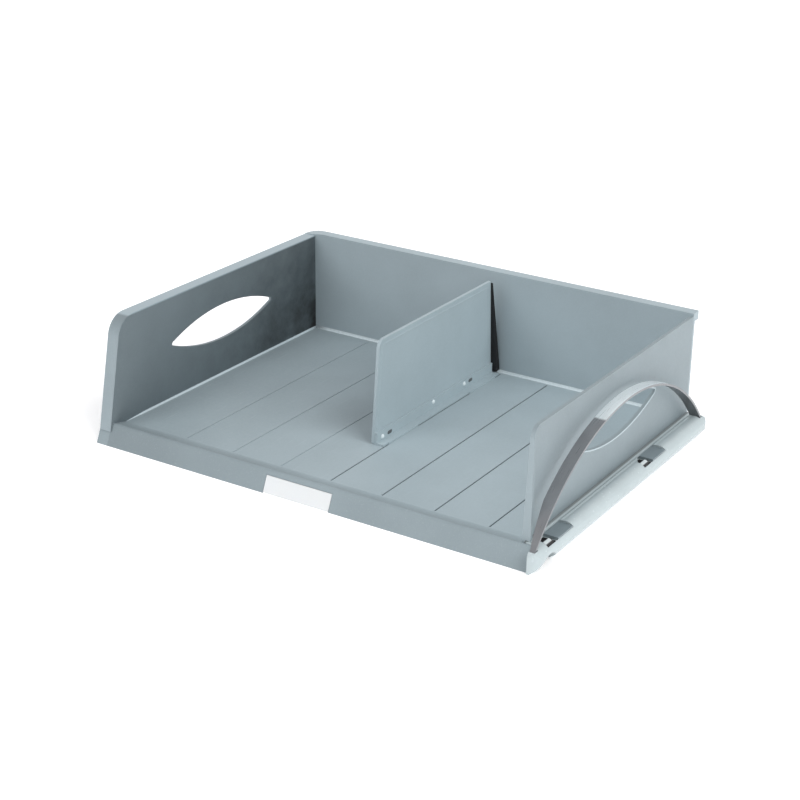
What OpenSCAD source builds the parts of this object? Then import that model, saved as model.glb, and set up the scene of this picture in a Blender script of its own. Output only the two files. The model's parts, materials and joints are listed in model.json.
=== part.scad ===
// Landscape letter tray with a lift-out divider and a sprung metal bow on its right side.
// The tray stands on z = 0, opens towards -y and its box is centred on x = 0 and y = 0.
// Inside the modules y is measured back from the front edge of the base, and x from the
// middle of the base.

/* [Tray] */
// Width of the base across its front edge
base_w = 360; // [350:1:370]
// Clear width between the side walls at the floor
inner_w = 338.4; // [334:0.2:340]
// Front edge of the base to the inner face of the back wall
inner_y = 261.5; // [255:0.5:275]
// Height of the side wall tops
wall_top = 93; // [90:0.5:94]
// Thickness of the wall panels
wall_t = 2.6; // [2.4:0.1:2.8]
// Height of the floor surface
floor_top = 12.2; // [12:0.1:12.6]
// Thickness of the floor and of the moulded skins
skin_t = 2.4; // [2:0.1:2.6]

/* [Front lip] */
// Distance of the ridge behind the front edge
ridge_y = 8.4; // [8:0.1:9]
// Height of the ridge
ridge_top = 15.4; // [14.8:0.1:16]
// Distance of the crease where the floor begins
crease_y = 20.7; // [18:0.1:24]

/* [Side wall outlines] */
// Front edge of the left wall at the height of the ridge
left_front_y = 4.6; // [4.2:0.1:6]
// How far the front edge of the left wall leans back at the top
left_rake = 16; // [12:0.5:18]
// Radius of the upper front corner of the left wall
left_corner_r = 17; // [12:0.5:20]
// Width of the flange around the left wall
flange_w = 10; // [8:0.5:10.5]
// Front edge of the right wall at the height of the ridge
right_front_y = 10.6; // [10:0.1:12]
// How far the front edge of the right wall leans back at the top
right_rake = 6; // [4:0.5:8]
// Radius of the upper front corner of the right wall
right_corner_r = 9; // [6:0.5:12]
// Width of the bead at the foot of the front edge of the right wall
bead_w = 6.2; // [5:0.1:6.4]

/* [Hand holes] */
// Length of the lens-shaped hole
hole_l = 124; // [110:1:130]
// Height of the hole
hole_h = 28; // [24:1:30]
// Centre of the hole behind the front edge
hole_y = 138; // [134:1:142]
// Centre of the hole above the table
hole_z = 55.4; // [54:0.2:57]
// Radius of the rounded tips
hole_tip_r = 1.9; // [1.5:0.1:2.2]

/* [Back rim] */
// Depth of the rim from the inner face of the back wall
rim_d = 11.8; // [10:0.2:13]
// Thickness of the rim
rim_t = 6.4; // [5:0.2:7]
// Height of the rim
rim_top = 95; // [94:0.2:97]

/* [Side rail] */
// Outer face of the rail from the middle of the base
rail_half_w = 188; // [187:0.5:189]
// Height of the rail where it meets the wall
rail_top = 16.3; // [16:0.1:16.6]
// Radius of the outer shoulder
shoulder_r = 7.6; // [6.5:0.1:7.8]
// Outer edge of the foot of the rail
rail_foot_x = 181.6; // [181:0.1:182]
// Rear end of the rail behind the front edge
rail_rear_y = 266; // [265:0.5:268]
// Radius of the notch in the foot of the rail
notch_r = 11.5; // [10:0.5:12]
// Length of a lug on the side wall
lug_l = 21; // [18:0.5:22]

/* [Side bow] */
// Width of the metal strip
bow_w = 8.5; // [6:0.5:9]
// Thickness of the metal strip
bow_t = 1.6; // [1.2:0.1:1.8]
// Height of the bow at its crown
bow_top = 77.2; // [76:0.2:78]
// Radius of the bow
bow_r = 168; // [166:0.5:169]

/* [Divider] */
// Left face to right face centre plane of the divider panel
divider_x = 4; // [3.6:0.1:4.4]
// Thickness of the divider panel
divider_t = 2.4; // [2:0.1:2.6]
// Front end of the divider at its foot
divider_front_y = 87.5; // [80:0.5:95]
// Height of the divider top
divider_top = 90.4; // [80:0.2:91]

/* [Floor grooves] */
// Position of the groove that holds the divider foot
groove_x = 13; // [12.8:0.1:13.2]
// Spacing of the grooves
groove_pitch = 42; // [40:0.5:43]
// Width of a groove
groove_w = 1.2; // [1:0.1:1.4]

/* [Label] */
// Width of the label card
label_w = 54.6; // [40:0.1:60]
// Height of the label card along the slope
label_h = 12.4; // [9:0.1:12.6]

/* [Hidden] */
$fn = 64;

body_grey = [0.60, 0.67, 0.69];
rail_grey = [0.72, 0.78, 0.79];
metal_grey = [0.55, 0.55, 0.57];
card_white = [0.96, 0.96, 0.95];
seal_black = [0.08, 0.08, 0.09];

gap = 0.3;
overcut = 1;
wall_x = inner_w / 2;
side_x = wall_x + wall_t;
lip_x = base_w / 2;
base_rear_y = inner_y + wall_t;
rim_rear_y = inner_y + rim_d;
rail_front_y = -2;
lip_end_y = 9;
wall_foot = 10;
x_mid = (rail_half_w - lip_x) / 2;
y_mid = (rail_front_y + rim_rear_y) / 2;

shallow_groove = [0.8, 0.4];
short_groove_y = 72;

ridge_r = 2.4;
ridge_c = [ridge_y, ridge_top - ridge_r];
lip_slope = atan2(ridge_c[1], ridge_c[0]) + asin(ridge_r / norm(ridge_c));

label_x = -1.8;
label_up = 0.5;

lug_front = [29, 173];
window_l = 14;
window_x = [175, 186.2];
valley_r = 2.6;
window_cut = [5.5, 10];
lug_top = 14.6;
lug_t = 2.2;
tongue_x = [182.2, 185.8];
tongue_l = 8.6;
tongue_t = 1.6;

bow_x = [184 - bow_w, 184];
bow_mid_y = 131.7;
bow_axis_z = bow_top - bow_r;
foot_z = 14;
tab_w = 3.6;
tab_bottom = 5.4;
relief_l = 4.2;
relief_side = 1.2;
taper_top = 40;
tab_y = bow_mid_y - sqrt(bow_r * bow_r - pow(foot_z - bow_axis_z, 2));

foot_top = floor_top + 1.6;
foot_bar_top = floor_top + 9.2;
foot_bar_t = 1.8;
blade_t = 0.8;
divider_rear_y = 255.4;
divider_rear_rake = 4.6;

// Moves the design from the front-edge frame to the centred frame
module centred() {
    translate([-x_mid, -y_mid, 0]) children();
}

// Extrudes a shape drawn in (y, z) along x, from x0 to x1
module along_x(x0, x1) {
    translate([x0, 0, 0]) rotate([90, 0, 90]) linear_extrude(x1 - x0) children();
}

// Extrudes a shape drawn in (x, z) along y, from y0 to y1
module along_y(y0, y1) {
    translate([0, y1, 0]) rotate([90, 0, 0]) linear_extrude(y1 - y0) children();
}

// Box from its lowest to its highest corner
module block(low, high) {
    translate(low) cube(high - low);
}

// Section of the base in (y, z): sloped lip, rounded ridge, ramp down to the floor
module base_section(rear_y) {
    inner_r = ridge_r - 0.05;
    polygon([[0, 0], ridge_c + inner_r * [-sin(lip_slope), cos(lip_slope)],
             ridge_c + inner_r * [0.2, 0.96], [crease_y, floor_top], [rear_y, floor_top],
             [rear_y, 0]]);
    translate(ridge_c) circle(r = ridge_r);
}

// Placed on the sloped front face: x along the lip, y up the slope, z outwards
module on_slope(up) {
    translate([0, up * cos(lip_slope), up * sin(lip_slope)]) rotate([lip_slope, 0, 0]) children();
}

module base() color(body_grey) centred() {
    difference() {
        union() {
            along_x(-side_x, side_x) base_section(base_rear_y);
            along_x(-lip_x, lip_x) intersection() {
                base_section(base_rear_y);
                square([lip_end_y, ridge_top + overcut]);
            }
        }
        along_x(-side_x + skin_t, side_x - skin_t) base_section_hollow();
        for (i = [-3 : 3]) {
            w = i < 0 ? shallow_groove[0] : groove_w;
            depth = i < 0 ? shallow_groove[1] : 1.3;
            block([groove_x + i * groove_pitch - w / 2, crease_y + 1, floor_top - depth],
                  [groove_x + i * groove_pitch + w / 2, i < 3 ? inner_y - 4 : short_groove_y,
                   floor_top + overcut]);
        }
        on_slope(label_up) translate([label_x - label_w / 2 - gap, -2, -0.9])
            cube([label_w + 2 * gap, label_h + 2 + gap, 3]);
    }
    // Stiffening ribs and standing pads on the underside
    for (x = [-1, 0, 1])
        block([x * 105 - 1, crease_y, 4], [x * 105 + 1, inner_y - 1, floor_top - skin_t + 0.01]);
    for (x = [-1, 1], y = [44, 236])
        translate([x * 150, y, 0]) cylinder(h = floor_top - skin_t + 0.01, r = 8);
}

// Open underside of the base in (y, z)
module base_section_hollow() {
    slope_shift = skin_t / sin(lip_slope);
    under = floor_top - skin_t;
    polygon([[slope_shift, -overcut], [slope_shift + under / tan(lip_slope), under],
             [base_rear_y - skin_t, under], [base_rear_y - skin_t, -overcut]]);
}

// Outline of a side wall in (y, z), with a raked front edge and a rounded upper corner
module wall_outline(front_y, rake_l, corner_r, inset, foot_z, rear_y) {
    top = wall_top - inset;
    rake = atan2(rake_l, wall_top - ridge_top);
    front = front_y + inset / cos(rake);
    r = corner_r - inset;
    // centre of the rounded corner lies r from the raked front line and r from the top
    cz = top - r;
    cy = front + (cz - ridge_top) * tan(rake) + r / cos(rake);
    inner_r = r - 0.05;
    polygon([[front - (ridge_top - foot_z) * tan(rake), foot_z], [rear_y, foot_z], [rear_y, top],
             [cy, top], [cy, cz], [cy - inner_r * cos(rake), cz + inner_r * sin(rake)]]);
    intersection() {
        translate([cy, cz]) circle(r = r);
        translate([cy - r, cz]) square(r);
    }
}

// Outline of the left wall, and with an inset the room inside its flange
module left_outline(inset, foot_z, rear_y) {
    wall_outline(left_front_y, left_rake, left_corner_r, inset, foot_z, rear_y);
}

module right_outline(inset, foot_z, rear_y) {
    wall_outline(right_front_y, right_rake, right_corner_r, inset, foot_z, rear_y);
}

// Lens-shaped hand hole in (y, z)
module lens() {
    half = hole_l / 2 - hole_tip_r;
    // arc through the crown and the point hole_tip_r high above each tip centre
    rise = hole_h / 2 - hole_tip_r * 0.95;
    r = (half * half + rise * rise) / (2 * rise);
    translate([hole_y, hole_z]) {
        intersection() {
            translate([0, r - hole_h / 2]) circle(r = r, $fn = 180);
            translate([0, hole_h / 2 - r]) circle(r = r, $fn = 180);
            square([2 * half, hole_h], center = true);
        }
        for (s = [-1, 1]) translate([s * half, 0]) circle(r = hole_tip_r);
    }
}

// Lugs that reach out of the foot of the right wall into the rail
module lugs() {
    for (y = lug_front)
        block([side_x - 0.5, y, lug_top - lug_t], [window_x[1] - 0.2, y + lug_l - 0.2, lug_top]);
}

// Hand hole through a side wall on the +x side
module hand_hole() {
    along_x(wall_x - overcut, side_x + overcut) lens();
}

module right_wall() color(body_grey) centred() {
    bead_z = [lug_top + 2, wall_top - 7];
    difference() {
        union() {
            along_x(wall_x, side_x) right_outline(0, wall_foot, inner_y);
            // bead along the front edge, narrower towards the top
            intersection() {
                along_x(wall_x, wall_x + bead_w) right_outline(0, wall_foot, inner_y);
                along_y(0, 2 * crease_y)
                    polygon([[wall_x, bead_z[0]], [wall_x + bead_w, bead_z[0]],
                             [side_x + 0.8, bead_z[1]], [side_x, wall_top], [wall_x, wall_top]]);
            }
        }
        along_x(side_x, side_x + bead_w) right_outline(wall_t, 0, inner_y + overcut);
        along_x(wall_x - overcut, side_x + overcut) base_section(inner_y + overcut);
        hand_hole();
    }
    lugs();
}

module left_wall() color(body_grey) centred() mirror([1, 0, 0]) difference() {
    along_x(wall_x, wall_x + flange_w) left_outline(0, wall_foot, inner_y);
    // the flange around the front and top edges is left standing
    along_x(side_x, wall_x + flange_w + overcut) left_outline(wall_t, 0, inner_y + overcut);
    along_x(wall_x - overcut, wall_x + flange_w + overcut) base_section(inner_y + overcut);
    hand_hole();
}

module back_wall() color(body_grey) centred() {
    nose_r = rim_t / 2;
    r_left = 10;
    r_right = 4;
    left_x = wall_x + flange_w + 0.6;
    slope_l = 18;
    along_y(inner_y, base_rear_y)
        translate([-side_x, floor_top]) square([2 * side_x, rim_top - nose_r - floor_top]);
    // rolled rim with a rounded nose and rounded plan corners
    intersection() {
        along_x(-left_x, side_x) {
            translate([inner_y, rim_top - rim_t]) square([rim_d - nose_r, rim_t]);
            translate([rim_rear_y - nose_r, rim_top - nose_r]) circle(r = nose_r);
        }
        translate([0, 0, rim_top - rim_t - overcut]) linear_extrude(rim_t + 2 * overcut) {
            translate([-left_x + r_left, inner_y]) square([left_x - r_left + side_x - r_right, rim_d]);
            translate([-left_x + r_left, rim_rear_y - r_left]) circle(r = r_left);
            translate([side_x - r_right, rim_rear_y - r_right]) circle(r = r_right);
            translate([side_x - r_right, inner_y]) square([r_right, rim_d - r_right]);
            translate([-left_x, inner_y]) square([r_left, rim_d - r_left]);
        }
        // slope from the level of the left wall up to the rim
        along_y(inner_y - 1, rim_rear_y + 1)
            polygon([[-left_x - 1, 0], [side_x + 1, 0], [side_x + 1, rim_top + 1],
                     [-left_x + slope_l * 1.5, rim_top + 1],
                     [-left_x, rim_top - 2], [-left_x - 1, rim_top - 2]]);
    }
}

// Bar with the section of the rail, shrunk by inset all round, from y0 to y1
module rail_bar(inset, y0, y1) {
    c = [rail_half_w - shoulder_r, rail_top - shoulder_r];
    r = shoulder_r - inset;
    foot_x = rail_foot_x - inset * 1.2;
    // straight outer face runs from the foot to just inside the shoulder
    slope = atan2(c[1], c[0] - foot_x) - asin(r / norm([c[0] - foot_x, c[1]]));
    inner_r = r - 0.3;
    along_y(y0, y1)
        polygon([[side_x + inset, 0], [side_x + inset, rail_top - inset], c + [1, inner_r - 0.2],
                 c + inner_r * [sin(slope), -cos(slope)], [foot_x, 0]]);
    translate([c[0], y1, c[1]]) rotate([90, 0, 0]) cylinder(h = y1 - y0, r = r);
}

// Plan of the rail in (x, y) with rounded outer ends
module rail_plan() {
    r_front = rail_half_w - lip_x;
    r_rear = 5;
    x_in = side_x;
    translate([x_in, rail_front_y + r_front]) square([rail_half_w - x_in,
        rail_rear_y - r_rear - rail_front_y - r_front]);
    translate([x_in, rail_front_y]) square([rail_half_w - x_in - r_front, r_front]);
    translate([rail_half_w - r_front, rail_front_y + r_front]) circle(r = r_front);
    translate([x_in, rail_rear_y - r_rear]) square([rail_half_w - x_in - r_rear, r_rear]);
    translate([rail_half_w - r_rear, rail_rear_y - r_rear]) circle(r = r_rear);
}

// Side view of the rail in (y, z) with rounded top ends
module rail_side() {
    r = 5;
    translate([rail_front_y, -overcut]) square([rail_rear_y - rail_front_y, rail_top - r + overcut]);
    translate([rail_front_y + r, 0]) square([rail_rear_y - rail_front_y - 2 * r, rail_top]);
    for (y = [rail_front_y + r, rail_rear_y - r]) translate([y, rail_top - r]) circle(r = r);
}

module rail_solid() {
    intersection() {
        difference() {
            rail_bar(0, rail_front_y, rail_rear_y);
            // shallow valley beside the wall
            translate([side_x + valley_r, rail_rear_y + overcut, rail_top + valley_r - 1.2])
                rotate([90, 0, 0]) cylinder(h = rail_rear_y - lip_end_y, r = valley_r);
        }
        translate([0, 0, -overcut]) linear_extrude(rail_top + 2 * overcut) rail_plan();
        along_x(side_x, rail_half_w + overcut) rail_side();
    }
}

// Window of a rail in plan, with its inner front corner cut off
module window(y) {
    polygon([[window_x[0], y + lug_l], [window_x[0], y - window_l + window_cut[1]],
             [window_x[0] + window_cut[0], y - window_l], [window_x[1], y - window_l],
             [window_x[1], y + lug_l]]);
}

module side_rail() color(rail_grey) centred() {
    tab_x = [bow_x[1] - tab_w - gap, bow_x[1] + gap];
    hollow_y = [tab_y + bow_t + 3, 2 * bow_mid_y - tab_y - bow_t - 3];
    difference() {
        rail_solid();
        // hollow underside between the two end blocks
        rail_bar(skin_t - 0.4, hollow_y[0], hollow_y[1]);
        block([side_x + 2, hollow_y[0], -overcut], [rail_foot_x - 2.4, hollow_y[1], overcut]);
        // room for the end of the front lip
        block([side_x - overcut, rail_front_y - overcut, -overcut],
              [lip_x, lip_end_y, rail_top + overcut]);
        // notch through the outer face near the front
        translate([side_x + 2, 15.5, -2]) rotate([0, 90, 0]) cylinder(h = 20, r = notch_r);
        for (y = lug_front) {
            // window with room for the snap, and the seat of the lug behind it
            translate([0, 0, 9]) linear_extrude(rail_top) window(y);
            block([side_x - overcut, y - 0.2, lug_top - lug_t - 0.2],
                  [window_x[0] + 0.5, y + lug_l, lug_top + 0.2]);
        }
        // pockets for the two feet of the bow
        for (y = [tab_y, 2 * bow_mid_y - tab_y - bow_t])
            block([tab_x[0], y - gap, tab_bottom - gap], [tab_x[1], y + bow_t + gap, rail_top + 4]);
        // reliefs where the strip leaves its pockets at a slant
        for (at = [[tab_x[0] - relief_side, tab_y], [bow_x[0] - gap, 2 * bow_mid_y - tab_y - relief_l]])
            block([at[0], at[1] - gap, foot_z - gap],
                  [tab_x[1], at[1] + relief_l + gap, rail_top + 4]);
    }
}

// Sprung strip bent to an arc, tapered to its front foot, with a straight tab at each foot
module bow() color(metal_grey) centred() {
    tab_x = bow_x[1] - tab_w;
    difference() {
        along_x(bow_x[0], bow_x[1]) intersection() {
            translate([bow_mid_y, bow_axis_z]) difference() {
                circle(r = bow_r, $fn = 360);
                circle(r = bow_r - bow_t, $fn = 360);
            }
            translate([-overcut, foot_z]) square([2 * bow_mid_y, bow_r]);
        }
        along_y(-overcut, bow_mid_y / 2)
            polygon([[bow_x[0] - overcut, foot_z - overcut], [tab_x, foot_z - overcut],
                     [tab_x, foot_z], [bow_x[0], taper_top], [bow_x[0] - overcut, taper_top]]);
    }
    along_x(tab_x, bow_x[1])
        for (y = [tab_y, 2 * bow_mid_y - tab_y - bow_t])
            translate([y, tab_bottom]) square([bow_t, foot_z - tab_bottom + 0.6]);
}

// Side view of the divider in (y, z) with a rounded upper front corner
module divider_outline() {
    r = 7;
    rake = 6;
    low = foot_top;
    polygon([[divider_front_y, low], [divider_rear_y, low],
             [divider_rear_y - divider_rear_rake, divider_top],
             [divider_front_y + rake + r, divider_top],
             [divider_front_y + rake + r, divider_top - r],
             [divider_front_y + rake, divider_top - r]]);
    translate([divider_front_y + rake + r, divider_top - r]) circle(r = r);
}

peg_at = [[95.8, 16.4], [165.5, 19], [210.8, 18.2]];

module divider_panel() color(body_grey) centred() {
    face_x = divider_x + divider_t / 2;
    difference() {
        along_x(divider_x - divider_t / 2, face_x) divider_outline();
        for (at = peg_at)
            translate([face_x - 3, at[0], at[1]]) rotate([0, 90, 0]) cylinder(h = 4, r = 1.2);
    }
}

// Dark sealing strip on the rear edge of the divider, a wedge that is wider at the foot
module rear_seal() color(seal_black) centred() {
    seal_x = [divider_x - 1, divider_x + 6];
    seal_top_x = divider_x + 2.4;
    seal_foot = 5.6;
    low = foot_top + 0.4;
    lean = divider_rear_rake * (low - foot_top) / (divider_top - foot_top);
    intersection() {
        along_x(seal_x[0], seal_x[1])
            polygon([[divider_rear_y - lean, low], [divider_rear_y + seal_foot, low],
                     [divider_rear_y - divider_rear_rake + 1.2, divider_top - 1.5],
                     [divider_rear_y - divider_rear_rake * 0.98, divider_top - 1.5]]);
        along_y(divider_rear_y - divider_rear_rake - 1, divider_rear_y + seal_foot + 1)
            polygon([[seal_x[0], low - 1], [seal_x[1], low - 1], [seal_x[1], low + 4],
                     [seal_top_x, divider_top], [seal_x[0], divider_top]]);
    }
}

// Foot strip beside the panel, with a blade that hooks into the floor groove
module divider_foot() color(body_grey) centred() {
    face_x = divider_x + divider_t / 2;
    front = divider_front_y + 0.5;
    rear = divider_rear_y - 1;
    difference() {
        union() {
            block([divider_x - divider_t / 2, front, floor_top + 0.05], [groove_x - 0.1, rear, foot_top]);
            block([face_x, front, floor_top + 0.05], [face_x + foot_bar_t, rear, foot_bar_top]);
            for (y = [front + 6, rear - 46])
                block([groove_x - blade_t / 2, y, floor_top - 1.1],
                      [groove_x + blade_t / 2, y + 40, foot_top]);
        }
        for (at = peg_at)
            translate([face_x - 1, at[0], at[1]]) rotate([0, 90, 0]) cylinder(h = 4, r = 1.2);
    }
}

// Push-in peg with a domed head that pins the panel to its foot
module peg(at) {
    face_x = divider_x + divider_t / 2;
    translate([face_x, at[0], at[1]]) rotate([0, 90, 0]) {
        translate([0, 0, -2]) cylinder(h = 2 + foot_bar_t, r = 1.15);
        translate([0, 0, foot_bar_t]) intersection() {
            cylinder(h = 1.1, r = 1.9);
            translate([0, 0, -1.1]) sphere(r = 2.2);
        }
    }
}

module peg_front() color(rail_grey) centred() peg(peg_at[0]);

module peg_middle() color(rail_grey) centred() peg(peg_at[1]);

module peg_rear() color(rail_grey) centred() peg(peg_at[2]);

module label_card() color(card_white) centred()
    on_slope(label_up) translate([label_x - label_w / 2, 0, -0.9]) cube([label_w, label_h, 0.9]);

// Spring tongue in a window of the rail, rounded at its free rear end
module snap(y) {
    w = tongue_x[1] - tongue_x[0];
    root_y = y - window_l + gap;
    tip_y = root_y + tongue_l - w / 2;
    mid_x = (tongue_x[0] + tongue_x[1]) / 2;
    intersection() {
        rail_solid();
        translate([0, 0, rail_top - 1 - tongue_t]) linear_extrude(tongue_t + 2) {
            translate([tongue_x[0], root_y]) square([w, tip_y - root_y]);
            translate([mid_x, tip_y]) circle(d = w);
        }
    }
}

module snap_front() color(rail_grey) centred() snap(lug_front[0]);

module snap_rear() color(rail_grey) centred() snap(lug_front[1]);

base();
left_wall();
right_wall();
back_wall();
side_rail();
snap_front();
snap_rear();
bow();
divider_panel();
divider_foot();
peg_front();
peg_middle();
peg_rear();
rear_seal();
label_card();
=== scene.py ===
import json
import math

import bmesh
import bpy
from mathutils import Matrix, Vector

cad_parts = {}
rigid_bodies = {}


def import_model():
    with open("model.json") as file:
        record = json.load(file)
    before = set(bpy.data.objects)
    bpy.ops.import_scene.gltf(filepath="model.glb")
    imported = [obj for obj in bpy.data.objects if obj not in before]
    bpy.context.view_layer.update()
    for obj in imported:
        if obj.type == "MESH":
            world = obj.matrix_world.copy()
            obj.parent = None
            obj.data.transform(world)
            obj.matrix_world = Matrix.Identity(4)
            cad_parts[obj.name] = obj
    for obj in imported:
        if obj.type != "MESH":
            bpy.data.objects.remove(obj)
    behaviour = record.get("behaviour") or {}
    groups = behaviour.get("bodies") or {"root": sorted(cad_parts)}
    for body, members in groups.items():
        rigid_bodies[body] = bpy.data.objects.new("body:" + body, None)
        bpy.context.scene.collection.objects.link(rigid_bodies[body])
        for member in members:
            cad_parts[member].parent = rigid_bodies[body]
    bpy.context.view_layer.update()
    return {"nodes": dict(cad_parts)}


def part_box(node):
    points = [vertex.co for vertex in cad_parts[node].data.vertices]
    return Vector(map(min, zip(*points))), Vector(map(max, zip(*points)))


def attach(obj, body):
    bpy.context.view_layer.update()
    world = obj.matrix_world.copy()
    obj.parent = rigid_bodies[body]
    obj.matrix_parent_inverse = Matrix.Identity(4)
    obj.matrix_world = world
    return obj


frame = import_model()
nodes = frame["nodes"]
scene = bpy.context.scene
scene.view_settings.view_transform = "Standard"

MM = 0.001
FRONT_LUG_Y = -106.65 * MM
REAR_LUG_Y = 37.35 * MM


# ---------------------------------------------------------------- materials

class Tree:
    """A material's node tree, with short calls for the nodes used here."""

    def __init__(self, name):
        self.mat = bpy.data.materials.new(name)
        self.mat.use_nodes = True
        self.nt = self.mat.node_tree
        self.shader = self.nt.nodes["Principled BSDF"]
        self.place = self.nt.nodes.new("ShaderNodeTexCoord").outputs["Object"]

    def link(self, a, b):
        self.nt.links.new(a, b)

    def scaled(self, scale, turn=(0, 0, 0)):
        n = self.nt.nodes.new("ShaderNodeMapping")
        n.inputs["Scale"].default_value = scale
        n.inputs["Rotation"].default_value = turn
        self.link(self.place, n.inputs["Vector"])
        return n.outputs["Vector"]

    def noise(self, scale, detail=2.0, rough=0.5, vector=None):
        n = self.nt.nodes.new("ShaderNodeTexNoise")
        n.inputs["Scale"].default_value = scale
        n.inputs["Detail"].default_value = detail
        n.inputs["Roughness"].default_value = rough
        self.link(vector or self.place, n.inputs["Vector"])
        return n.outputs["Fac"]

    def spread(self, value, low, high, frm=(0.3, 0.7)):
        n = self.nt.nodes.new("ShaderNodeMapRange")
        n.inputs["From Min"].default_value, n.inputs["From Max"].default_value = frm
        n.inputs["To Min"].default_value = low
        n.inputs["To Max"].default_value = high
        self.link(value, n.inputs["Value"])
        return n.outputs["Result"]

    def rise(self, axis, low, high):
        """0 below low and 1 above high along an axis of the object."""
        return self.spread(self.axis(axis), 0, 1, (low, high))

    def fall(self, axis, low, high):
        """1 below low and 0 above high along an axis of the object."""
        return self.spread(self.axis(axis), 1, 0, (low, high))

    def math(self, op, a, b):
        n = self.nt.nodes.new("ShaderNodeMath")
        n.operation = op
        for socket, v in zip(n.inputs, (a, b)):
            if isinstance(v, (int, float)):
                socket.default_value = v
            else:
                self.link(v, socket)
        return n.outputs[0]

    def mix(self, factor, a, b):
        n = self.nt.nodes.new("ShaderNodeMix")
        n.data_type = "RGBA"
        for socket, v in ((n.inputs["Factor"], factor), (n.inputs["A"], a), (n.inputs["B"], b)):
            if isinstance(v, tuple):
                socket.default_value = (*v, 1)
            elif isinstance(v, (int, float)):
                socket.default_value = v
            else:
                self.link(v, socket)
        return n.outputs["Result"]

    def bump(self, height, strength, distance, normal=None):
        n = self.nt.nodes.new("ShaderNodeBump")
        n.inputs["Strength"].default_value = strength
        n.inputs["Distance"].default_value = distance
        self.link(height, n.inputs["Height"])
        if normal:
            self.link(normal, n.inputs["Normal"])
        return n.outputs["Normal"]

    def axis(self, name):
        n = self.nt.nodes.new("ShaderNodeSeparateXYZ")
        self.link(self.place, n.inputs[0])
        return n.outputs[name]

    def scale(self, colour, by):
        n = self.nt.nodes.new("ShaderNodeVectorMath")
        n.operation = "SCALE"
        self.link(colour, n.inputs[0])
        self.link(by, n.inputs["Scale"])
        return n.outputs["Vector"]

    def finish(self, colour, rough, normal, **uniform):
        self.link(colour, self.shader.inputs["Base Color"])
        self.link(rough, self.shader.inputs["Roughness"])
        self.link(normal, self.shader.inputs["Normal"])
        for name, v in uniform.items():
            self.shader.inputs[name.replace("_", " ")].default_value = v
        return self.mat


def painted_shade_inside(t, colour, rough, base):
    """Left wall: painted shade darkens the inner face in mottled patches, most at its rear and low down,
    under a rim top painted lighter as a highlight.
    """
    inner = t.rise("X", -0.1745, -0.1738)
    rear = t.spread(t.axis("Y"), 0.12, 1, (-0.05, 0.126))
    low = t.spread(t.axis("Z"), 1, 0.5, (0.012, 0.085))
    patch = t.spread(t.noise(38, 5, 0.65), 0.6, 1.15, (0.35, 0.65))
    amount = t.math("MULTIPLY", t.math("MULTIPLY", rear, low), t.math("MULTIPLY", patch, inner))
    colour = t.mix(t.math("MULTIPLY", amount, 0.95), colour, (0.035, 0.033, 0.031))
    # Painted highlight: the top of the rim is made lighter.
    lit_rim_top = t.rise("Z", 0.0918, 0.0925)
    return t.mix(lit_rim_top, colour, tuple(c * 1.75 for c in base)), rough


def painted_shade_base(t, colour, rough, base):
    """Base: painted shade darkens the front lip, the left of the floor and the floors of the grooves."""
    colour = t.scale(colour, t.spread(t.axis("Y"), 0.76, 1, (-0.126, -0.1155)))
    outside = t.fall("X", -0.1745, -0.1735)
    to_left = t.math("MAXIMUM", t.spread(t.axis("X"), 0.80, 1, (-0.17, -0.04)), outside)
    colour = t.scale(colour, to_left)
    sideways = t.math("ABSOLUTE", t.axis("X"), 0)
    groove = t.spread(sideways, 1, 0, (0.168, 0.1685))
    for limit in (t.fall("Z", 0.0112, 0.0118), t.rise("Z", 0.0088, 0.0092),
                  t.rise("Y", -0.1165, -0.116), t.fall("Y", 0.1262, 0.1264)):
        groove = t.math("MULTIPLY", groove, limit)
    return t.scale(colour, t.spread(groove, 1, 0.25, (0, 1))), rough


def painted_shade_valley(t, colour, rough, base):
    """Rail: its narrow valley beside the wall is darkened as a painted reflection of the dark wall, and
    made matt.
    """
    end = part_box("right_wall")[0].x + 4.5 * MM
    shaded_band = (end - 0.8 * MM, end)
    colour = t.scale(colour, t.spread(t.axis("X"), 0.35, 1, shaded_band))
    return colour, t.math("MAXIMUM", rough, t.spread(t.axis("X"), 0.7, 0.1, shaded_band))


def painted_shade_round_tip(lug_y):
    """Snap: painted shade, dark on both sides of its tip and towards the lug whose front edge is at
    lug_y, for the shadowed gap round the tongue.
    """
    def detail(t, colour, rough, base):
        dark = t.math("MAXIMUM", t.rise("Y", lug_y - 6.5 * MM, lug_y - 5.8 * MM),
                      t.fall("X", 0.1747, 0.1754))
        dark = t.math("MAXIMUM", dark, t.rise("X", 0.1802, 0.1808))
        return t.mix(dark, colour, (0.012, 0.012, 0.014)), rough
    return detail


def moulded(name, base, rough=(0.46, 0.58), grain=0.16, speckle=0.28, wavy=0.1, scuffs=0.0, detail=None):
    """Injection-moulded plastic: cloudy colour, spark-eroded grain, slight sink waviness and scuffs.
    detail changes colour and roughness for what is special to one piece."""
    t = Tree(name)
    cloud = t.noise(14, 4, 0.6)
    speck = t.noise(1100, 2, 0.6)
    dark = tuple(c * 0.93 for c in base)
    light = tuple(min(1, c * 1.05) for c in base)
    colour = t.mix(t.spread(cloud, 0, 1), dark, light)
    pale = tuple(min(1, c * 1.16) for c in base)
    colour = t.mix(t.spread(speck, 0, speckle, (0.45, 0.75)), colour, pale)
    r = t.spread(t.noise(420, 3, 0.6), *rough)
    if detail:
        colour, r = detail(t, colour, r, base)
    height = t.math("ADD", speck, t.math("MULTIPLY", t.noise(2300, 1), 0.6))
    if scuffs:
        lines = t.noise(1, 3, 0.7, t.scaled((900, 26, 900), (0, 0, 0.12)))
        worn = t.spread(lines, 0, scuffs, (0.6, 0.72))
        colour = t.mix(worn, colour, pale)
        r = t.math("SUBTRACT", r, t.math("MULTIPLY", worn, 0.25))
    n = t.bump(height, grain, 0.0003)
    n = t.bump(t.noise(55, 2), wavy, 0.0006, n)
    return t.finish(colour, r, n)


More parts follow.
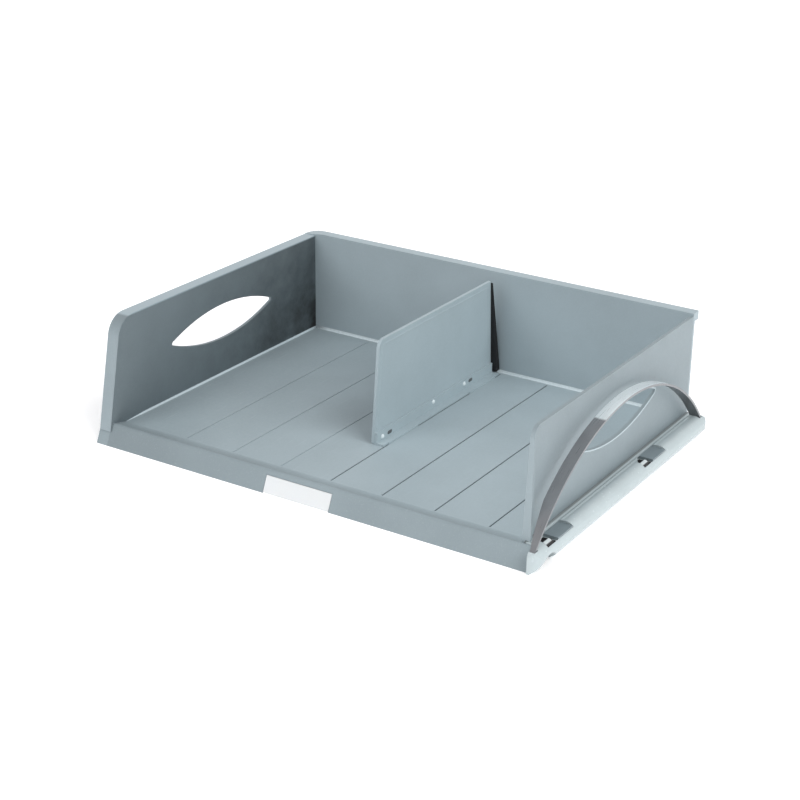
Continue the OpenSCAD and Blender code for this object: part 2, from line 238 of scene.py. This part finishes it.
def steel(name, base, painted_reflection=None):
    """Rolled spring steel: fine lines along the strip and faint tarnish clouds; with the extra colour
    given, a painted reflection in that colour on its upward faces from a line near the front to the rear
    foot, and painted shade on its downward faces."""
    t = Tree(name)
    lines = t.noise(1, 4, 0.65, t.scaled((4200, 60, 60)))
    cloud = t.noise(60, 4, 0.6)
    colour = t.mix(t.spread(cloud, 0, 1), tuple(c * 0.88 for c in base), tuple(c * 1.06 for c in base))
    colour = t.mix(t.spread(lines, 0, 0.35), colour, tuple(c * 1.2 for c in base))
    if painted_reflection:
        edge_y = t.math("ADD", t.axis("Y"), t.math("MULTIPLY", t.noise(500, 2), 0.0015))
        bright = t.mix(t.spread(lines, 0, 1), tuple(c * 0.9 for c in painted_reflection), painted_reflection)
        up = t.nt.nodes.new("ShaderNodeSeparateXYZ")
        t.link(t.nt.nodes.new("ShaderNodeNewGeometry").outputs["Normal"], up.inputs[0])
        outer = t.math("MULTIPLY", t.spread(up.outputs["Z"], 0, 1, (0.05, 0.15)),
                       t.spread(edge_y, 0, 1, (-0.0415, -0.0395)))
        # Painted shade on the faces that look down, and a painted reflection on the upward faces behind
        # the line.
        downward_shade = t.spread(up.outputs["Z"], 1, 0, (-0.1, 0.03))
        colour = t.mix(downward_shade, colour, tuple(c * 0.5 for c in base))
        colour = t.mix(outer, colour, bright)
    r = t.spread(lines, 0.26, 0.4)
    n = t.bump(lines, 0.06, 0.0001)
    return t.finish(colour, r, n, Metallic=0.55)


def paper(name, base):
    """Uncoated card: fibres, a slight tooth and faint yellowing clouds."""
    t = Tree(name)
    fibre = t.noise(1, 4, 0.7, t.scaled((1800, 500, 500), (0, 0, 0.5)))
    cloud = t.noise(70, 3)
    warm = (base[0], base[1] * 0.985, base[2] * 0.96)
    colour = t.mix(t.spread(cloud, 0, 0.7), base, warm)
    colour = t.mix(t.spread(fibre, 0, 0.1, (0.5, 0.75)), colour, tuple(c * 0.85 for c in base))
    r = t.spread(fibre, 0.82, 0.95)
    return t.finish(colour, r, t.bump(fibre, 0.2, 0.0001))


BODY = (0.305, 0.372, 0.400)
body = moulded("body_plastic", BODY)
floor_body = moulded("floor_plastic", BODY, scuffs=0.35, detail=painted_shade_base)
# Back wall and divider: lighter copies of the body plastic, as painted light.
back_lit_body = moulded("back_wall_plastic_lit", (0.335, 0.405, 0.435))
divider_lit_body = moulded("divider_plastic_lit", (0.330, 0.405, 0.435))
# Lighter copy of the body plastic for rounded edges, joint coves and the hole rim: a soft painted
# highlight.
soft_highlight_edge = moulded("body_soft_edge_painted_highlight", (0.42, 0.50, 0.53), (0.3, 0.4), 0.05)
slot_shade = moulded("slot_shade", (0.085, 0.095, 0.10), (0.5, 0.6))
left_body = moulded("left_wall_plastic", BODY, detail=painted_shade_inside)
# Lighter copy of the body plastic for rounded edges and the back joint cove: a painted highlight.
edge = moulded("body_edge_painted_highlight", (0.52, 0.60, 0.63), (0.24, 0.34), 0.05)
rail = moulded("rail_plastic", (0.41, 0.475, 0.49), (0.20, 0.28), 0.01, speckle=0.06, wavy=0.02,
               detail=painted_shade_valley)
# Darker copy of the rail plastic for its rounded edges: painted shade.
rail_edge_painted_shade = moulded("rail_edge_painted_shade", (0.36, 0.42, 0.44), (0.18, 0.26), 0.01, speckle=0.05, wavy=0.02)
metal = steel("bow_steel", (0.265, 0.278, 0.292), (0.88, 0.95, 0.97))
# Near-white copy of the bow steel for its rounded edges: a painted highlight.
metal_highlight_edge = steel("bow_edge_painted_highlight", (0.80, 0.83, 0.84))
peg_plastic = moulded("peg_plastic", (0.62, 0.70, 0.72), (0.14, 0.22), 0.03)
# Near-black standing in for deep shadow: a painted shadow on the rear_seal node and in the rail windows.
shadow_black = moulded("painted_shadow_black", (0.012, 0.012, 0.013), (0.7, 0.85), 0.3)
card = paper("label_card_paper", (0.635, 0.665, 0.68))
# Darker copy of the card for its rounded edges: a painted shadow.
card_shadow_edge = paper("label_card_edge_painted_shadow", (0.50, 0.52, 0.53))


def dress(name, mats, width):
    """Gives a CAD node its finish, and rounds its edges in the last of its materials."""
    o = nodes[name]
    o.data.materials.clear()
    for m in mats:
        o.data.materials.append(m)
    o.data.polygons.foreach_set("material_index", [0] * len(o.data.polygons))
    o.data.polygons.foreach_set("use_smooth", [True] * len(o.data.polygons))
    flat = o.modifiers.new("flat", "DECIMATE")
    flat.decimate_type = "DISSOLVE"
    flat.angle_limit = math.radians(0.5)
    bevel = o.modifiers.new("rounded", "BEVEL")
    bevel.width = width
    bevel.segments = 2
    bevel.limit_method = "ANGLE"
    bevel.angle_limit = math.radians(30)
    bevel.use_clamp_overlap = False
    bevel.harden_normals = True
    bevel.material = len(mats) - 1
    return o


dress("base", [floor_body, edge], 0.35 * MM)
dress("left_wall", [left_body, edge], 0.6 * MM)
dress("right_wall", [body, soft_highlight_edge], 0.5 * MM)
dress("back_wall", [back_lit_body, edge], 0.6 * MM)
dress("side_rail", [rail, rail_edge_painted_shade], 0.3 * MM)
for n, lug_y in (("snap_front", FRONT_LUG_Y), ("snap_rear", REAR_LUG_Y)):
    tongue = moulded(n + "_plastic", (0.55, 0.61, 0.62), (0.20, 0.28), 0.01, speckle=0.06,
                     detail=painted_shade_round_tip(lug_y))
    dress(n, [tongue], 0.15 * MM)
dress("bow", [metal, metal_highlight_edge], 0.3 * MM)
dress("divider_panel", [divider_lit_body, edge], 0.4 * MM)
dress("divider_foot", [divider_lit_body, edge], 0.2 * MM)
for n in ("peg_front", "peg_middle", "peg_rear"):
    dress(n, [peg_plastic], 0.1 * MM)
# The rear_seal node is black as a painted shadow in the gap between the divider's rear edge and the back
# wall.
dress("rear_seal", [shadow_black], 0.15 * MM)
dress("label_card", [card, card_shadow_edge], 0.08 * MM)


# ---------------------------------------------------------------- moulded details

def piece(name, bm, mats, body_name, smooth=True):
    """Turns a bmesh into a piece that rides on a body."""
    bmesh.ops.recalc_face_normals(bm, faces=bm.faces)
    me = bpy.data.meshes.new(name)
    bm.to_mesh(me)
    bm.free()
    for m in mats:
        me.materials.append(m)
    me.polygons.foreach_set("use_smooth", [smooth] * len(me.polygons))
    o = bpy.data.objects.new(name, me)
    scene.collection.objects.link(o)
    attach(o, body_name)
    return o


def sweep(bm, section, path, closed=False):
    """Skins a closed section, a list of (across, up), along a path of (point, across axis, up axis)."""
    rings = [[bm.verts.new(p + a * u + b * v) for u, v in section] for p, a, b in path]
    n = len(section)
    pairs = list(zip(rings, rings[1:])) + ([(rings[-1], rings[0])] if closed else [])
    for r0, r1 in pairs:
        for i in range(n):
            bm.faces.new((r0[i], r0[(i + 1) % n], r1[(i + 1) % n], r1[i]))
    if not closed:
        bm.faces.new(rings[0])
        bm.faces.new(rings[-1])


def joint_bead(name, start, end, inward, size, mat):
    """Cove in the joint between floor and wall, coloured lighter as a painted highlight on the fillet,
    growing from its front end.
    """
    start, end, inward = Vector(start), Vector(end), Vector(inward)
    section = [(0, 0), (size, 0)]
    section += [(size * (1 - math.sin(t)), size * (1 - math.cos(t)))
                for t in (math.radians(x) for x in (15, 30, 45, 60, 75))]
    section += [(0, size)]
    bm = bmesh.new()
    up = Vector((0, 0, 1))
    path = []
    for i in range(25):
        grown = min(1, 0.15 + 0.4 * i) if inward.x else 1
        path.append((start.lerp(end, i / 24), inward * grown, up * grown))
    sweep(bm, section, path)
    return piece(name, bm, [mat], "tray")


floor_z = 12.2 * MM
left_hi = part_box("left_wall")[1]
x_in_left, x_in_right, y_in_back = left_hi.x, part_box("right_wall")[0].x, left_hi.y
front_y = -0.1145
joint_bead("left_joint_bead", (x_in_left, front_y, floor_z), (x_in_left, y_in_back, floor_z),
           (1, 0, 0), 1.3 * MM, soft_highlight_edge)
joint_bead("right_joint_bead", (x_in_right, front_y, floor_z), (x_in_right, y_in_back, floor_z),
           (-1, 0, 0), 1.3 * MM, soft_highlight_edge)
joint_bead("back_joint_bead", (x_in_left, y_in_back, floor_z), (x_in_right, y_in_back, floor_z),
           (0, -1, 0), 1.9 * MM, edge)


def border_rib():
    """Thin raised border on the right face of the divider, round its front, top and rear edges."""
    lo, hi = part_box("divider_panel")
    inset = 4.2 * MM
    y0, y1, z0, z1 = lo.y + inset, hi.y - inset, lo.z + 7.6 * MM, hi.z - inset
    lean = 4.6 * MM
    rake = 6 * MM
    r = 5 * MM
    points = [(y0, z0), (y0 + rake, z1 - r)]
    points += [(y0 + rake + r * (1 - math.cos(t)), z1 - r + r * math.sin(t))
               for t in (math.radians(x) for x in range(10, 90, 10))]
    points += [(y0 + rake + r, z1), (y1 - lean, z1), (y1, z0)]
    section = [(-0.5 * MM, 0), (-0.3 * MM, 0.2 * MM), (0.3 * MM, 0.2 * MM), (0.5 * MM, 0)]
    path = []
    n = len(points)
    for i, (y, z) in enumerate(points):
        before, after = points[max(0, i - 1)], points[min(n - 1, i + 1)]
        along = Vector((0, after[0] - before[0], after[1] - before[1])).normalized()
        path.append((Vector((hi.x - 0.02 * MM, y, z)), along.cross(Vector((1, 0, 0))), Vector((1, 0, 0))))
    bm = bmesh.new()
    sweep(bm, section, path)
    return piece("divider_border", bm, [divider_lit_body], "divider", smooth=False)


def clip_slot(name, y, z):
    """Rounded slot in the divider foot, beside a peg, coloured dark as painted shade."""
    face_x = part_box("divider_panel")[1].x + 1.8 * MM
    bm = bmesh.new()
    half, r = 1.6 * MM, 1.4 * MM
    sides, narrowing = 24, 0.85
    ring = []
    for k in range(sides):
        t = math.radians(k * 360 / sides)
        ring.append((y + math.cos(t) * r + (half if math.cos(t) > 0 else -half), z + math.sin(t) * r))
    outer = [bm.verts.new((face_x, a, b)) for a, b in ring]
    inner = [bm.verts.new((face_x + 0.12 * MM, y + (a - y) * narrowing, z + (b - z) * narrowing))
             for a, b in ring]
    for k in range(sides):
        bm.faces.new((outer[k], outer[(k + 1) % sides], inner[(k + 1) % sides], inner[k]))
    bm.faces.new(inner)
    return piece(name, bm, [slot_shade], "divider")


border_rib()
for where in ("front", "rear"):
    lo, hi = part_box("peg_" + where)
    clip_slot(where + "_clip_slot", (lo.y + hi.y) / 2 + 9.5 * MM, (lo.z + hi.z) / 2 + 0.2 * MM)


def hole_rim():
    """Narrow raised bead round the hand hole on the outer face of the right wall, coloured lighter as a
    painted highlight.
    """
    half, rise, steps = 60.1 * MM, 12.2 * MM, 40
    r = (half * half + rise * rise) / (2 * rise)
    cy, cz = 2.35 * MM, 55.4 * MM
    top = 14.5 * MM
    reach = math.asin(half / r)
    arc = [(r * math.sin(t), top - r + r * math.cos(t)) for t in
           (reach * (2 * i / steps - 1) for i in range(steps + 1))]
    tip = [(half + 2.3 * MM * math.cos(t), 2.3 * MM * math.sin(t)) for t in
           (math.radians(x) for x in (40, 0, -40))]
    loop = arc + tip + [(-y, -z) for y, z in arc] + [(-y, -z) for y, z in tip]
    x = Vector((1, 0, 0))
    wall_x = x_in_right + 2.6 * MM
    section = [(-0.65 * MM, 0), (-0.4 * MM, 0.25 * MM), (0, 0.35 * MM),
               (0.4 * MM, 0.25 * MM), (0.65 * MM, 0)]
    path = []
    for i, (y, z) in enumerate(loop):
        before, after = loop[i - 1], loop[(i + 1) % len(loop)]
        along = Vector((0, after[0] - before[0], after[1] - before[1])).normalized()
        path.append((Vector((wall_x - 0.03 * MM, cy + y, cz + z)), along.cross(x), x))
    bm = bmesh.new()
    sweep(bm, section, path, closed=True)
    return piece("right_hole_rim", bm, [soft_highlight_edge], "tray")


def window_shadow_sheet(name, y_lug):
    """Near-black sheet on the floor of the pocket round a snap, a painted shadow, cut at its inner front
    corner like the window.
    """
    y1, y0 = y_lug - 0.3 * MM, y_lug - 13.7 * MM
    x0, x1 = 171.2 * MM, 182 * MM
    plan = [(x0, y1), (x0, y0 + 10 * MM), (x0 + 5.3 * MM, y0), (x1, y0), (x1, y1)]
    bm = bmesh.new()
    rings = []
    for z, inset in ((11.3 * MM, 0), (12.1 * MM, 0), (12.2 * MM, 0.1 * MM)):
        cx, cy = (x0 + x1) / 2, (y0 + y1) / 2
        rings.append([bm.verts.new((x + math.copysign(inset, cx - x),
                                    y + math.copysign(inset, cy - y), z)) for x, y in plan])
    for a, b in zip(rings, rings[1:]):
        for i in range(5):
            bm.faces.new((a[i], a[(i + 1) % 5], b[(i + 1) % 5], b[i]))
    bm.faces.new(rings[0])
    bm.faces.new(rings[-1])
    return piece(name, bm, [shadow_black], "tray", smooth=False)


hole_rim()
window_shadow_sheet("front_window_liner", FRONT_LUG_Y)
window_shadow_sheet("rear_window_liner", REAR_LUG_Y)


# ---------------------------------------------------------------- surroundings

def table_top():
    me = bpy.data.meshes.new("table_top")
    bm = bmesh.new()
    bmesh.ops.create_grid(bm, x_segments=8, y_segments=8, size=40)
    bm.to_mesh(me)
    bm.free()
    o = bpy.data.objects.new("table_top", me)
    scene.collection.objects.link(o)
    t = Tree("table_white")
    cloud = t.noise(1.5, 2)
    colour = t.mix(t.spread(cloud, 0, 1), (0.93, 0.935, 0.94), (0.95, 0.95, 0.95))
    white = t.finish(colour, t.spread(cloud, 0.85, 0.95), t.bump(cloud, 0.02, 0.001),
                     Emission_Color=(1, 1, 1, 1), Emission_Strength=0.25)
    me.materials.append(white)
    return o


def soft_sun(name, towards, angle, strength, left_out=(), no_shadow_of=()):
    """A very large, far soft box. left_out aren't lit by it, and no_shadow_of cast no shadow in it."""
    data = bpy.data.lights.new(name, "SUN")
    data.angle = math.radians(angle)
    data.energy = strength
    o = bpy.data.objects.new(name, data)
    o.rotation_euler = (-Vector(towards)).to_track_quat("-Z", "Y").to_euler()
    o.visible_glossy = False
    scene.collection.objects.link(o)
    for attribute, names in (("receiver_collection", left_out), ("blocker_collection", no_shadow_of)):
        if names:
            group = bpy.data.collections.new(name + "_" + attribute)
            for n in names:
                group.objects.link(bpy.data.objects[n])
            for member in group.collection_objects:
                member.light_linking.link_state = "EXCLUDE"
            setattr(o.light_linking, attribute, group)
    return o


def studio_world():
    """White backdrop, and a dim grey room in front and above that only lights the tray."""
    world = bpy.data.worlds.new("studio")
    scene.world = world
    world.use_nodes = True
    nt = world.node_tree
    back = nt.nodes["Background"]
    where = nt.nodes.new("ShaderNodeTexCoord").outputs["Generated"]
    parts = nt.nodes.new("ShaderNodeSeparateXYZ")
    nt.links.new(where, parts.inputs[0])
    tilt = nt.nodes.new("ShaderNodeMath")
    tilt.operation = "MULTIPLY_ADD"
    tilt.inputs[1].default_value = -0.76
    nt.links.new(parts.outputs["Z"], tilt.inputs[0])
    nt.links.new(parts.outputs["Y"], tilt.inputs[2])
    ramp = nt.nodes.new("ShaderNodeMapRange")
    ramp.interpolation_type = "SMOOTHSTEP"
    ramp.inputs["From Min"].default_value = -0.06
    ramp.inputs["From Max"].default_value = 0.06
    nt.links.new(tilt.outputs[0], ramp.inputs["Value"])
    mix = nt.nodes.new("ShaderNodeMix")
    mix.data_type = "RGBA"
    mix.inputs["A"].default_value = (0.36, 0.34, 0.35, 1)
    mix.inputs["B"].default_value = (1.0, 1.0, 1.0, 1)
    seen = nt.nodes.new("ShaderNodeMath")
    seen.operation = "MAXIMUM"
    nt.links.new(ramp.outputs["Result"], seen.inputs[0])
    nt.links.new(nt.nodes.new("ShaderNodeLightPath").outputs["Is Camera Ray"], seen.inputs[1])
    nt.links.new(seen.outputs[0], mix.inputs["Factor"])
    nt.links.new(mix.outputs["Result"], back.inputs["Color"])
    back.inputs["Strength"].default_value = 0.9


def camera():
    data = bpy.data.cameras.new("camera")
    data.sensor_width = 36
    data.lens = 77.38
    data.shift_x, data.shift_y = -0.08, 0.0195
    data.clip_start, data.clip_end = 0.02, 50
    o = bpy.data.objects.new("camera", data)
    a, e, roll = (math.radians(x) for x in (30.16, 23.41, 1.58))
    back = Vector((math.sin(a) * math.cos(e), -math.cos(a) * math.cos(e), math.sin(e)))
    right = (-back).cross(Vector((0, 0, 1))).normalized()
    up = right.cross(-back)
    x = math.cos(roll) * right + math.sin(roll) * up
    y = -math.sin(roll) * right + math.cos(roll) * up
    m = Matrix((x, y, back)).transposed().to_4x4()
    m.translation = (0.6229, -0.9905, 0.5252)
    o.matrix_world = m
    scene.collection.objects.link(o)
    scene.camera = o


table_top()
studio_world()
soft_sun("key", (-0.25, -0.72, 0.65), 50, 1.5)
soft_sun("side", (0.74, -0.15, 0.66), 45, 0.8, left_out=["left_wall"], no_shadow_of=["right_wall", "bow"])
soft_sun("side_fill", (0.74, -0.15, 0.66), 45, 1.6, left_out=["left_wall", "right_wall"],
         no_shadow_of=["right_wall", "bow"])
camera()
